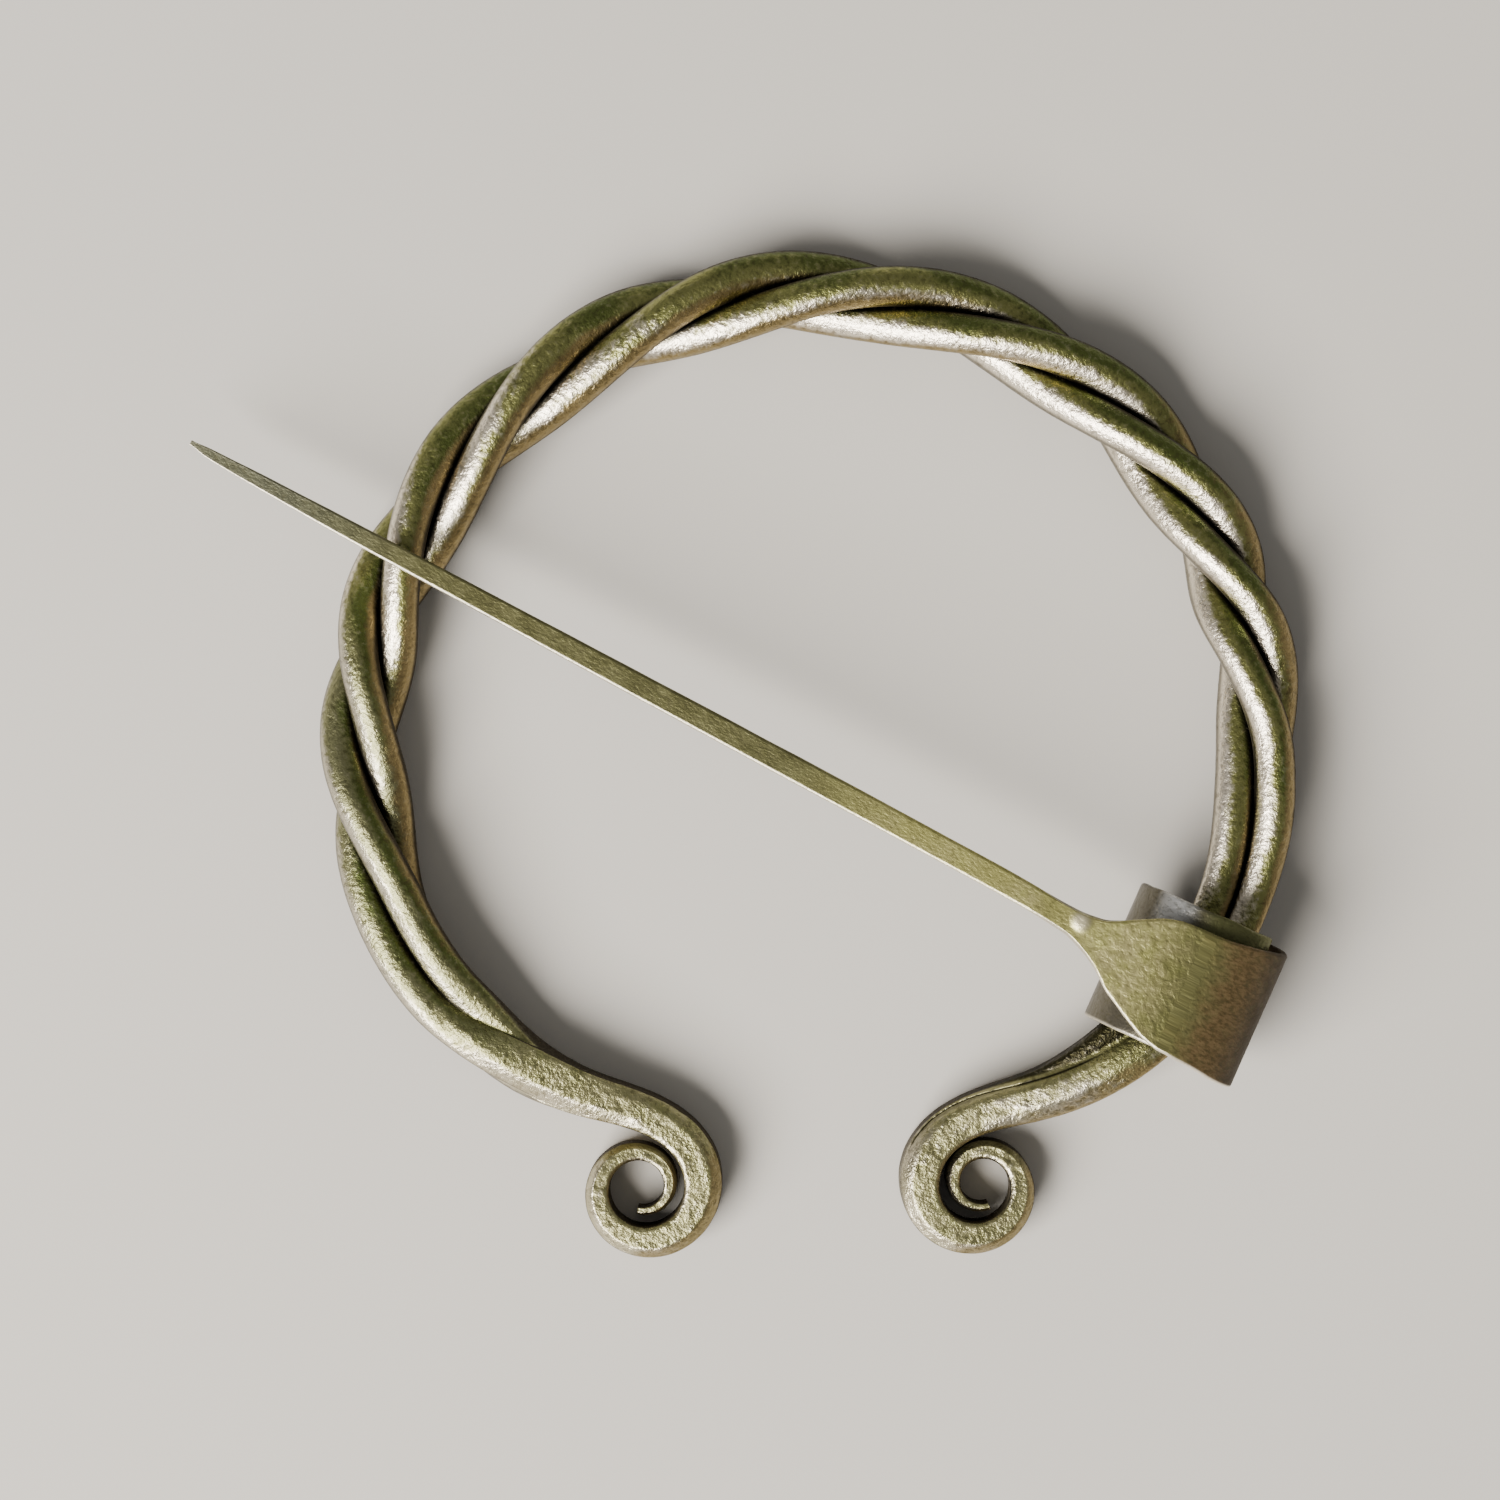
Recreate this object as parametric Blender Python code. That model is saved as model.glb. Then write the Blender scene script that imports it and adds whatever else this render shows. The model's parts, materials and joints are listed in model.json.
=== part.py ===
"""A penannular cloak brooch, forged from iron rod.

Three rods are twisted together into an open ring. Both ends are forge-welded solid,
drawn down to flat bars and curled outwards into scrolls. The pin is one more strip:
a flat tapered shaft whose leaf-shaped head is rolled loosely round the hoop.
Lengths are in millimetres and angles in degrees, and MM turns them into metres.
"""

from math import atan2, cos, degrees, pi, radians, sin, sqrt

import bmesh
import bpy
from mathutils import Vector

MM = 0.001

# The ring of three twisted rods
ring_radius = 31.36
rod_diameter = 3.0
weld_squeeze = 0.97
# Where each third of a turn of the twist falls round the ring, angle first
twist_thirds = (
    (-71.0, 0.6), (-57.0, 0.5), (-42.0, 0.4), (-24.0, 0.25), (-2.2, 0.5), (10.0, 1.0),
    (26.0, 2.0), (45.0, 3.0), (68.0, 4.0), (93.0, 5.0), (115.0, 6.0), (138.0, 7.0),
    (160.0, 8.0), (178.0, 9.0), (200.0, 10.0), (214.0, 10.17), (222.0, 10.48), (232.0, 10.84),
    (242.0, 11.0),
)

# The two welded ends. Each pair is where a change starts and ends, in millimetres along the bar
# from the end of the round arc. Scroll radii and widths are given at each quarter of its length.
left_end = dict(
    arc_end=191.83,
    easing=24.43,
    tightest_radius=18.94,
    reversing=9.62,
    scroll_length=25.08,
    scroll_radii=(4.40, 3.87, 3.29, 2.44, 1.81),
    scroll_widths=(2.8, 2.45, 1.85, 1.15, 0.7),
    thinning=(1.0, 22.0),
    flattening=(4.0, 24.0),
    welding=(9.0, 26.0),
    sinking=(14.0, 33.0),
    narrowing=(11.0, 31.0),
    neck_width=4.7,
    seam_depth=0.0,
    seam_closing=(24.0, 36.0),
    lift=0.0,
    lifting=(-12.0, 6.0),
    lowering=(17.0, 30.0),
)
right_end = dict(
    arc_end=191.85,
    easing=24.90,
    tightest_radius=19.08,
    reversing=9.17,
    scroll_length=24.53,
    scroll_radii=(4.22, 3.70, 3.26, 2.24, 1.86),
    scroll_widths=(2.95, 2.5, 1.85, 1.2, 0.7),
    thinning=(-3.0, 6.0),
    flattening=(-4.0, 7.5),
    welding=(9.0, 30.0),
    sinking=(14.0, 33.0),
    narrowing=(10.0, 32.0),
    neck_width=5.0,
    seam_depth=0.5,
    seam_closing=(30.0, 38.0),
    lift=0.8,
    lifting=(-12.0, 6.0),
    lowering=(17.0, 30.0),
)
thinned_rods = 0.88
flattened_rods = 0.72
bar_height = 4.2
bar_bevel = 0.45
bar_bevel_limit = 0.3
tip_length = 4.0
tip_width = 0.5
tip_height = 3.0

# The pin and its rolled head
pin_thickness = 1.3
tip_thickness = 0.8
sheet_thickness = 0.7
pin_bevel = 0.28
pin_bevel_limit = 0.4
loop_bore_radius = 4.6
loop_place = 11.2
loop_shift = 0.7
loop_skew = 4.5
roll_overlap = 52.0
roll_gap = 0.25
# Where the strip moves from the outer turn in to the inner one, in degrees past the overlap
roll_rise = (3.0, 80.0)
plate_thickening = (2.0, 10.0)
plate_squaring = (3.0, 9.0)
point_thinning = 24.0
far_crossing = 155.7
tip_overhang = 16.2
clearance = 0.3
# Half widths of the strip either side of its middle, by distance back from the loop's top
upper_edge = (
    (-77.5, 0.22), (-76.0, 0.34), (-73.5, 0.42), (-63.0, 0.60), (-42.0, 0.78), (-28.0, 0.84),
    (-15.0, 0.80), (-8.9, 0.66), (-7.1, 0.86), (-5.8, 1.40), (-4.4, 2.30), (-3.1, 3.00),
    (-1.7, 3.45), (1.0, 3.70), (3.8, 4.10), (8.0, 4.55), (13.0, 4.75), (20.0, 5.0),
)
lower_edge = (
    (-77.5, 0.22), (-76.0, 0.50), (-73.5, 0.64), (-63.0, 0.90), (-42.0, 1.04), (-28.0, 1.08),
    (-13.0, 1.12), (-9.0, 1.35), (-7.1, 1.95), (-6.1, 2.50), (-5.4, 3.05), (-4.7, 3.60),
    (-3.7, 4.10), (-2.7, 4.60), (-1.0, 5.30), (1.0, 5.6), (5.0, 5.95), (7.2, 5.85),
    (9.0, 5.55), (20.0, 5.40),
)
drawn_length = 77.5
unstretched = 20.0

# How finely the faceted solids follow the curves, the first in points and the others in lengths
# and angles. A quarter of the bar's outline has six points: two on each flat and two at the corner.
outline_count = 24
widest_station = 2.1
finest_station = 0.05
most_turn = 13.0
roll_step = 10.0


def ease(start, end, x):
    """0 before start, 1 after end, and a smooth rise between them."""
    share = min(max((x - start) / (end - start), 0.0), 1.0)
    return share * share * (3.0 - 2.0 * share)


def mix(a, b, share):
    return a + (b - a) * share


def through(knots, x):
    """A smooth curve through the knots, level beyond both ends."""
    if x <= knots[0][0]:
        return knots[0][1]
    if x >= knots[-1][0]:
        return knots[-1][1]
    slopes = [(b[1] - a[1]) / (b[0] - a[0]) for a, b in zip(knots, knots[1:])]
    bends = [0.0]
    for before, after in zip(slopes, slopes[1:]):
        level = before * after <= 0.0
        bends.append(0.0 if level else 2.0 * before * after / (before + after))
    bends.append(0.0)
    k = next(i for i in range(len(slopes)) if x <= knots[i + 1][0])
    gap = knots[k + 1][0] - knots[k][0]
    t = (x - knots[k][0]) / gap
    start, end = knots[k][1], knots[k + 1][1]
    return (
        mix(start, end, t * t * (3.0 - 2.0 * t))
        + gap * bends[k] * t * (1.0 - t) ** 2
        - gap * bends[k + 1] * t * t * (1.0 - t)
    )


def spaced(values, share):
    """A smooth curve through values that are evenly spaced from share 0 to share 1."""
    return through([(i / (len(values) - 1), value) for i, value in enumerate(values)], share)


def curvature(end, past):
    """Bend of the hoop's centreline, past the round arc, inwards positive."""
    round_bend = 1.0 / ring_radius
    tight_bend = 1.0 / end["tightest_radius"]
    if past < 0.0:
        return round_bend
    if past < end["easing"]:
        return mix(round_bend, tight_bend, past / end["easing"])
    past -= end["easing"]
    if past < end["reversing"]:
        return mix(tight_bend, -1.0 / end["scroll_radii"][0], past / end["reversing"])
    past -= end["reversing"]
    return -1.0 / spaced(end["scroll_radii"], past / end["scroll_length"])


def half_path(end, spacing, turn):
    """Stations from the ring's top down to one scroll tip: (point, outward, past)."""
    arc_length = radians(end["arc_end"] - 90.0) * ring_radius
    total = arc_length + end["easing"] + end["reversing"] + end["scroll_length"]
    steps = round(total / finest_station)
    step = total / steps
    point = Vector((0.0, ring_radius))
    heading = pi
    stations = []
    since = 1.0
    for i in range(steps + 1):
        past = i * step - arc_length
        if since >= 1.0 or i == steps:
            outward = Vector((sin(heading), -cos(heading)))
            stations.append((point.copy(), outward, past))
            since = 0.0
        bend = curvature(end, past + step / 2.0)
        middle = heading + bend * step / 2.0
        point += Vector((cos(middle), sin(middle))) * step
        heading += bend * step
        since += step * max(1.0 / spacing, abs(degrees(bend)) / turn)
    return stations


def rod_outline(j, count):
    """Point j of the outline of three round rods, the first rod's middle at angle 0."""
    radius = rod_diameter / 2.0
    offset = weld_squeeze * rod_diameter / sqrt(3.0)
    meeting = offset / 2.0 + sqrt(radius**2 - 0.75 * offset**2)
    widest = atan2(meeting * sin(radians(60.0)), meeting / 2.0 - offset)
    share = count // 3
    rod = round(j / share)
    place_round = widest * (j - rod * share) / (share / 2.0)
    turn = radians(120.0 * rod)
    return (
        offset * cos(turn) + radius * cos(turn + place_round),
        offset * sin(turn) + radius * sin(turn + place_round),
    )


def bar_outline(angle, half_width, half_height, bevel):
    """Point of a bevelled bar's outline near an angle, the flats and corners kept."""
    flat_x, flat_z = half_width - bevel, half_height - bevel
    eighth = radians(45.0)
    corner = bevel * (1.0 - cos(eighth))
    quarter = (
        (half_width, 0.0), (half_width, flat_z / 2.0), (half_width, flat_z),
        (half_width - corner, half_height - corner), (flat_x, half_height),
        (flat_x / 2.0, half_height), (0.0, half_height),
    )
    gaps = len(quarter) - 1
    side = int(angle // 90.0) % 4
    within = gaps * (angle % 90.0) / 90.0
    if side in (1, 3):
        within = gaps - within
    k = min(int(within), gaps - 1)
    x, z = (mix(a, b, within - k) for a, b in zip(quarter[k], quarter[k + 1]))
    return (-x if side in (1, 2) else x, -z if side in (2, 3) else z)


def bar_size(end, past):
    """Width and height of the welded bar and of the scroll that it tapers into."""
    into_scroll = max(past - end["easing"] - end["reversing"], 0.0)
    share = into_scroll / end["scroll_length"]
    narrowed = spaced(end["scroll_widths"], share)
    width = mix(end["neck_width"], narrowed, ease(*end["narrowing"], past))
    left = end["scroll_length"] - into_scroll
    width = mix(tip_width, width, ease(-tip_length / 2.0, tip_length, left))
    return width, mix(bar_height, tip_height, share)


def hoop_section(end, sign, past, count):
    """The hoop's outline at one station, as (outwards, height above the table) pairs."""
    arc_angle = end["arc_end"] + degrees(past / ring_radius)
    around = arc_angle if sign > 0 else 180.0 - arc_angle
    first_rod = 120.0 * through(twist_thirds, around)
    thin = mix(1.0, thinned_rods, ease(*end["thinning"], past))
    flat = mix(1.0, flattened_rods, ease(*end["flattening"], past))
    welded = ease(*end["welding"], past)
    seam = end["seam_depth"] * welded * (1.0 - ease(*end["seam_closing"], past))
    width, height = bar_size(end, past)
    bevel = min(bar_bevel, bar_bevel_limit * width)
    turn = radians(first_rod)
    middle = rod_diameter * (0.5 + weld_squeeze / sqrt(3.0))
    rise = end["lift"] * ease(*end["lifting"], past) * (1.0 - ease(*end["lowering"], past))
    middle = mix(middle, height / 2.0, ease(*end["sinking"], past)) + rise
    outline = []
    for j in range(count):
        x, z = rod_outline(j, count)
        rod_x = (x * cos(turn) - z * sin(turn)) * thin
        rod_z = (x * sin(turn) + z * cos(turn)) * thin * flat
        angle = first_rod + 360.0 * j / count
        bar_x, bar_z = bar_outline(angle, width / 2.0, height / 2.0, bevel)
        if j == count // 6:
            bar_z -= seam
        outline.append((mix(rod_x, bar_x, welded), middle + mix(rod_z, bar_z, welded)))
    return outline


def hoop_rings(count, spacing, turn):
    """Every outline of the hoop, from the right scroll's tip to the left one's."""
    rings = []
    for end, sign in ((right_end, -1), (left_end, 1)):
        side = []
        for point, outward, past in half_path(end, spacing, turn):
            middle = Vector((sign * point.x, point.y, 0.0))
            across = Vector((sign * outward.x, outward.y, 0.0))
            section = hoop_section(end, sign, past, count)
            side.append([middle + across * x + Vector((0.0, 0.0, z)) for x, z in section])
        rings += side[:0:-1] if sign < 0 else side
    return rings


def loop_frame():
    """The rolled head's middle on its axis, the pin's direction and the axis direction."""
    stations = half_path(right_end, finest_station, most_turn)
    point, outward, past = min(stations, key=lambda s: abs(s[2] - loop_place))
    on_hoop = Vector((-point.x, point.y))
    far = Vector((cos(radians(far_crossing)), sin(radians(far_crossing)))) * ring_radius
    pointing = (far - on_hoop).normalized()
    on_axis = on_hoop + pointing * loop_shift
    pin_length = (far - on_axis).length + tip_overhang
    axis_angle = atan2(pointing.y, pointing.x) + radians(90.0 + loop_skew)
    axis = Vector((cos(axis_angle), sin(axis_angle), 0.0))
    height = (loop_bore_radius + sheet_thickness) * cos(radians(roll_step / 2.0))
    return (
        Vector((on_axis.x, on_axis.y, height)),
        Vector((pointing.x, pointing.y, 0.0)),
        axis,
        pin_length,
    )


def shaft_thickness(back, pin_length):
    """Thickness of the strip, that far back from the top of the loop."""
    thick = mix(sheet_thickness, pin_thickness, ease(*plate_thickening, back))
    return mix(thick, tip_thickness, ease(pin_length - point_thinning, pin_length, back))


def pin_slope(height, pin_length):
    """The fall of the pin that brings its underside just over the far side of the hoop."""
    top = height + loop_bore_radius + 2.0 * sheet_thickness + roll_gap
    hoop_top = rod_diameter * (1.0 + 2.0 * weld_squeeze / sqrt(3.0))
    reach = pin_length - tip_overhang + rod_diameter
    drop = top - shaft_thickness(reach, pin_length) - clearance - hoop_top
    return atan2(drop, reach)


def pin_ring(middle, across, up, place_along, thickness):
    """A bevelled strip section: eight points round the middle."""
    upper = through(upper_edge, place_along)
    lower = through(lower_edge, place_along)
    half = thickness / 2.0
    bevel = min(pin_bevel, pin_bevel_limit * thickness, pin_bevel_limit * upper)
    pairs = (
        (lower, half - bevel), (lower - bevel, half), (bevel - upper, half), (-upper, half - bevel),
        (-upper, bevel - half), (bevel - upper, -half), (lower - bevel, -half), (lower, bevel - half),
    )
    return [middle + across * x + up * z for x, z in pairs]


def pin_rings():
    """Every outline of the pin, from its tip up the shaft and round the rolled head."""
    centre, pointing, axis, pin_length = loop_frame()
    slope = pin_slope(centre.z, pin_length)
    square = Vector((-pointing.y, pointing.x, 0.0))
    rolled = Vector((-axis.y, axis.x, 0.0))
    if rolled.dot(pointing) < 0.0:
        rolled = -rolled
    sheet_radius = loop_bore_radius + sheet_thickness / 2.0
    plate_radius = sheet_radius + sheet_thickness + roll_gap
    along = (pointing * cos(slope) - Vector((0.0, 0.0, sin(slope)))).normalized()
    up = (pointing * sin(slope) + Vector((0.0, 0.0, cos(slope)))).normalized()
    start = centre + up * plate_radius
    stretch = (pin_length - unstretched) / (drawn_length - unstretched)
    rings = []
    for k in sorted({knot[0] for knot in upper_edge + lower_edge if knot[0] < 0.0}):
        back = unstretched + (-k - unstretched) * stretch if k < -unstretched else -k
        thick = shaft_thickness(back, pin_length)
        turned = ease(*plate_squaring, back)
        across = (axis * (1.0 - turned) + square * turned).normalized()
        middle = start + along * back - up * (thick - sheet_thickness) / 2.0
        rings.append(pin_ring(middle, across, up, k, thick))
    steps = int((360.0 + roll_overlap) / roll_step)
    turns = [0.0] + [roll_step * (i + 0.5) - degrees(slope) for i in range(1, steps + 1)]
    for around in turns:
        settled = ease(*roll_rise, around - roll_overlap)
        radius = mix(plate_radius, sheet_radius, settled)
        angle = radians(90.0 - around) - slope
        spoke = -rolled * cos(angle) + Vector((0.0, 0.0, sin(angle)))
        arc = radians(around) * sheet_radius
        rings.append(pin_ring(centre + spoke * radius, axis, spoke, arc, sheet_thickness))
    return rings


def metal(name, colour, roughness):
    """A plain metal, its finer looks left out."""
    material = bpy.data.materials.new(name)
    material.use_nodes = True
    shader = material.node_tree.nodes["Principled BSDF"]
    shader.inputs["Base Color"].default_value = (*colour, 1.0)
    shader.inputs["Metallic"].default_value = 0.9
    shader.inputs["Roughness"].default_value = roughness
    material.diffuse_color = (*colour, 1.0)
    return material


def loft(name, rings, origin, material):
    """Wraps a grid round the outlines, closes both ends and makes it an object."""
    across, along = len(rings[0]), len(rings) - 1
    bm = bmesh.new()
    bmesh.ops.create_grid(bm, x_segments=across, y_segments=along, size=0.5)
    for vert in bm.verts:
        column = round((vert.co.x + 0.5) * across) % across
        row = round((vert.co.y + 0.5) * along)
        vert.co = (rings[row][column] - origin) * MM
    bmesh.ops.remove_doubles(bm, verts=bm.verts, dist=1e-7)
    rim = [edge for edge in bm.edges if edge.is_boundary]
    bmesh.ops.holes_fill(bm, edges=rim, sides=0)
    bmesh.ops.recalc_face_normals(bm, faces=bm.faces)
    mesh = bpy.data.meshes.new(name)
    bm.to_mesh(mesh)
    bm.free()
    mesh.shade_smooth()
    mesh.set_sharp_from_angle(angle=radians(40.0))
    mesh.materials.append(material)
    obj = bpy.data.objects.new(name, mesh)
    obj.location = origin * MM
    bpy.context.scene.collection.objects.link(obj)
    return obj


def stand_on_origin(pieces):
    """Parents the pieces to an empty that puts the brooch's bottom centre on the origin."""
    corners = [piece.location + vert.co for piece in pieces for vert in piece.data.vertices]
    low = Vector(min(corner[i] for corner in corners) for i in range(3))
    high = Vector(max(corner[i] for corner in corners) for i in range(3))
    base = bpy.data.objects.new("brooch", None)
    bpy.context.scene.collection.objects.link(base)
    base.location = (-(low.x + high.x) / 2.0, -(low.y + high.y) / 2.0, -low.z)
    for piece in pieces:
        piece.parent = base


for old in list(bpy.data.objects):
    bpy.data.objects.remove(old)
hoop_metal = metal("patinated_iron", (0.34, 0.32, 0.24), 0.38)
pin_metal = metal("olive_iron", (0.30, 0.29, 0.17), 0.45)
hoop = loft("hoop", hoop_rings(int(outline_count), widest_station, most_turn), Vector(), hoop_metal)
pin = loft("pin", pin_rings(), loop_frame()[0], pin_metal)
stand_on_origin((hoop, pin))
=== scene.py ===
"""A penannular cloak brooch of forged iron, lying on a pale table.

Three twisted rods make an open ring with scrolled ends, and a flat pin is rolled round one arm.
Sizes of the forging are in millimetres and angles in degrees; MM turns them into metres.
"""

import json
from math import atan2, cos, degrees, pi, radians, sin, sqrt

import bmesh
import bpy
from mathutils import Matrix, Vector, noise


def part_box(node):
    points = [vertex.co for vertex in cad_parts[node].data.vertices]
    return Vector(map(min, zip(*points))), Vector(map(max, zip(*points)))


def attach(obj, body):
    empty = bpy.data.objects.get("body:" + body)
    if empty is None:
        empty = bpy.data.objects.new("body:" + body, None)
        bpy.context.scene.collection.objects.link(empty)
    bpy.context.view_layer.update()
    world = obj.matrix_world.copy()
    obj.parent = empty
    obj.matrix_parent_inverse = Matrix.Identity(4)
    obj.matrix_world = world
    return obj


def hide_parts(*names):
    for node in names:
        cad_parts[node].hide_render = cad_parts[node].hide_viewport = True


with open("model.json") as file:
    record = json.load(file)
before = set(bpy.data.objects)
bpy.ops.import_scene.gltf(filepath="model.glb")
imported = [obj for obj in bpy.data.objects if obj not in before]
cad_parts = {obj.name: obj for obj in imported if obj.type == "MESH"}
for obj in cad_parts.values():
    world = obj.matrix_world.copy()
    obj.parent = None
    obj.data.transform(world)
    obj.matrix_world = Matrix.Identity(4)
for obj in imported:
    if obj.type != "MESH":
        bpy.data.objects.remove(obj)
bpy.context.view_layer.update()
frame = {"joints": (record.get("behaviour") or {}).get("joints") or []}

# The hoop. Three iron rods, twisted hot into one open ring. Towards both ends they are welded,
# drawn down to flat bars and curled outwards into scrolls, and the smith's hammer leaves the
# bars lumpy while the twisted rods stay smooth and round.
MM = 0.001
ring_radius = 31.36
rod_diameter = 3.0
weld_squeeze = 0.97
# Where each third of a turn of the twist falls round the ring, angle first.
twist_thirds = (
    (-71.0, 0.6), (-57.0, 0.5), (-42.0, 0.4), (-24.0, 0.25), (-2.2, 0.5), (10.0, 1.0), (26.0, 2.0),
    (45.0, 3.0), (68.0, 4.0), (93.0, 5.0), (115.0, 6.0), (138.0, 7.0), (160.0, 8.0), (178.0, 9.0),
    (200.0, 10.0), (214.0, 10.17), (222.0, 10.48), (232.0, 10.84), (242.0, 11.0),
)
# The two ends. Each pair is where a change starts and ends, along the bar from the end of the
# round arc, and the scrolls' radii and widths are given at each quarter of their length.
left_end = dict(
    arc_end=191.83, easing=24.43, tightest_radius=18.94, reversing=9.62, scroll_length=25.08,
    scroll_radii=(4.40, 3.87, 3.29, 2.44, 1.81), scroll_widths=(2.8, 2.45, 1.92, 1.3, 0.9),
    thinning=(1.0, 22.0), flattening=(4.0, 24.0), welding=(9.0, 26.0), narrowing=(11.0, 31.0),
    neck_width=4.7, seam_depth=0.0, seam_closing=(24.0, 36.0), lift=0.0,
)
right_end = dict(
    arc_end=191.85, easing=24.90, tightest_radius=19.08, reversing=9.17, scroll_length=24.53,
    scroll_radii=(4.22, 3.70, 3.26, 2.24, 1.86), scroll_widths=(2.95, 2.5, 1.92, 1.35, 0.9),
    thinning=(-3.0, 6.0), flattening=(-4.0, 7.5), welding=(9.0, 30.0), narrowing=(10.0, 32.0),
    neck_width=5.0, seam_depth=0.5, seam_closing=(30.0, 38.0), lift=0.8,
)
sinking, lifting, lowering = (14.0, 33.0), (-12.0, 6.0), (17.0, 30.0)
thinned_rods, flattened_rods = 0.88, 0.72
bar_height, bar_bevel, bar_bevel_limit = 4.2, 0.45, 0.3
tip_length, tip_width, tip_height = 4.0, 0.5, 3.0
# The hammer also slopes the bars down to their outer edges, the scrolls to their rims, and the
# rod beyond a seam down to its own edge. All of it lies inside the solids' outline.
edge_fall, edge_falling = 1.0, (20.0, 32.0)
rim_fall, rim_falling = 0.7, (22.0, 36.0)
sloping = (0.3, 1.0)
# The seam reaches so many degrees round the outline; these depths show it and fill it with painted
# shade, and the last sets the painted shade laid on the rod beyond it.
seam_fall, seam_reach, seam_sharpness = 0.7, 13.5, 1.3
seam_shown, seam_blackened, seam_shade = 0.03, 0.3, 0.93
# How deep the unevenness goes, on the twisted rods and on the welded bars.
inset, hoop_uneven, hoop_rippled, bar_dented, bar_sides_spared = 0.04, 0.08, (0.018, 0.035), 0.05, 0.7
# How finely the forging is drawn: points round it, and the length and bend between two outlines.
hoop_columns, hoop_spacing, hoop_turn = 96, 0.25, 3.0
walk_steps_per_mm = 100


def ease(start, end, x):
    """0 before start, 1 after end, and a smooth rise between them."""
    share = min(max((x - start) / (end - start), 0.0), 1.0)
    return share * share * (3.0 - 2.0 * share)


def mix(a, b, share):
    return a + (b - a) * share


def through(knots, x):
    """A smooth curve through the knots, level beyond both ends."""
    if x <= knots[0][0]:
        return knots[0][1]
    if x >= knots[-1][0]:
        return knots[-1][1]
    slopes = [(b[1] - a[1]) / (b[0] - a[0]) for a, b in zip(knots, knots[1:])]
    bends = [0.0]
    for before, after in zip(slopes, slopes[1:]):
        level = before * after <= 0.0
        bends.append(0.0 if level else 2.0 * before * after / (before + after))
    bends.append(0.0)
    k = next(i for i in range(len(slopes)) if x <= knots[i + 1][0])
    gap = knots[k + 1][0] - knots[k][0]
    t = (x - knots[k][0]) / gap
    return (
        mix(knots[k][1], knots[k + 1][1], t * t * (3.0 - 2.0 * t))
        + gap * bends[k] * t * (1.0 - t) ** 2
        - gap * bends[k + 1] * t * t * (1.0 - t)
    )


def spaced(values, share):
    """A smooth curve through values that are evenly spaced from share 0 to share 1."""
    return through([(i / (len(values) - 1), value) for i, value in enumerate(values)], share)


def curvature(end, past):
    """Bend of the hoop's centreline, past the round arc, inwards positive."""
    tight_bend = 1.0 / end["tightest_radius"]
    if past < 0.0:
        return 1.0 / ring_radius
    if past < end["easing"]:
        return mix(1.0 / ring_radius, tight_bend, past / end["easing"])
    past -= end["easing"]
    if past < end["reversing"]:
        return mix(tight_bend, -1.0 / end["scroll_radii"][0], past / end["reversing"])
    return -1.0 / spaced(end["scroll_radii"], (past - end["reversing"]) / end["scroll_length"])


def half_path(end, spacing, turn):
    """Stations from the ring's top down to one scroll tip: (point, outward, past)."""
    arc_length = radians(end["arc_end"] - 90.0) * ring_radius
    total = arc_length + end["easing"] + end["reversing"] + end["scroll_length"]
    steps = walk_steps_per_mm * round(total)
    step = total / steps
    point = Vector((0.0, ring_radius))
    heading = pi
    stations = []
    since = 1.0
    for i in range(steps + 1):
        past = i * step - arc_length
        if since >= 1.0 or i == steps:
            stations.append((point.copy(), Vector((sin(heading), -cos(heading))), past))
            since = 0.0
        bend = curvature(end, past + step / 2.0)
        middle = heading + bend * step / 2.0
        point += Vector((cos(middle), sin(middle))) * step
        heading += bend * step
        since += step * max(1.0 / spacing, abs(degrees(bend)) / turn)
    return stations


def rod_outline(j):
    """Point j of the outline of three round rods, and how deep between two rods it lies."""
    radius = rod_diameter / 2.0
    offset = weld_squeeze * rod_diameter / sqrt(3.0)
    meeting = offset / 2.0 + sqrt(radius**2 - 0.75 * offset**2)
    widest = atan2(meeting * sin(radians(60.0)), meeting / 2.0 - offset)
    share = hoop_columns // 3
    rod = round(j / share)
    off_middle = (j - rod * share) / (share / 2.0)
    turn = radians(120.0 * rod)
    return (
        offset * cos(turn) + radius * cos(turn + widest * off_middle),
        offset * sin(turn) + radius * sin(turn + widest * off_middle),
        ease(0.55, 1.0, abs(off_middle)),
    )


def bar_outline(angle, half_width, half_height, bevel):
    """Point of a bar's outline near an angle, its flats kept and its corners rounded."""
    flat_x, flat_z = half_width - bevel, half_height - bevel
    steps = (angle % 360.0) / 15.0
    side = int(steps // 6) % 4
    within = steps - 6.0 * side
    if side in (1, 3):
        within = 6.0 - within
    corner = radians(min(max(within - 2.0, 0.0), 2.0) * 45.0)
    x = flat_x * min((6.0 - within) / 2.0, 1.0) + bevel * cos(corner)
    z = flat_z * min(within / 2.0, 1.0) + bevel * sin(corner)
    if within >= 4.0:
        x -= bevel * cos(corner)
    return (-x if side in (1, 2) else x, -z if side in (2, 3) else z)


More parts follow.
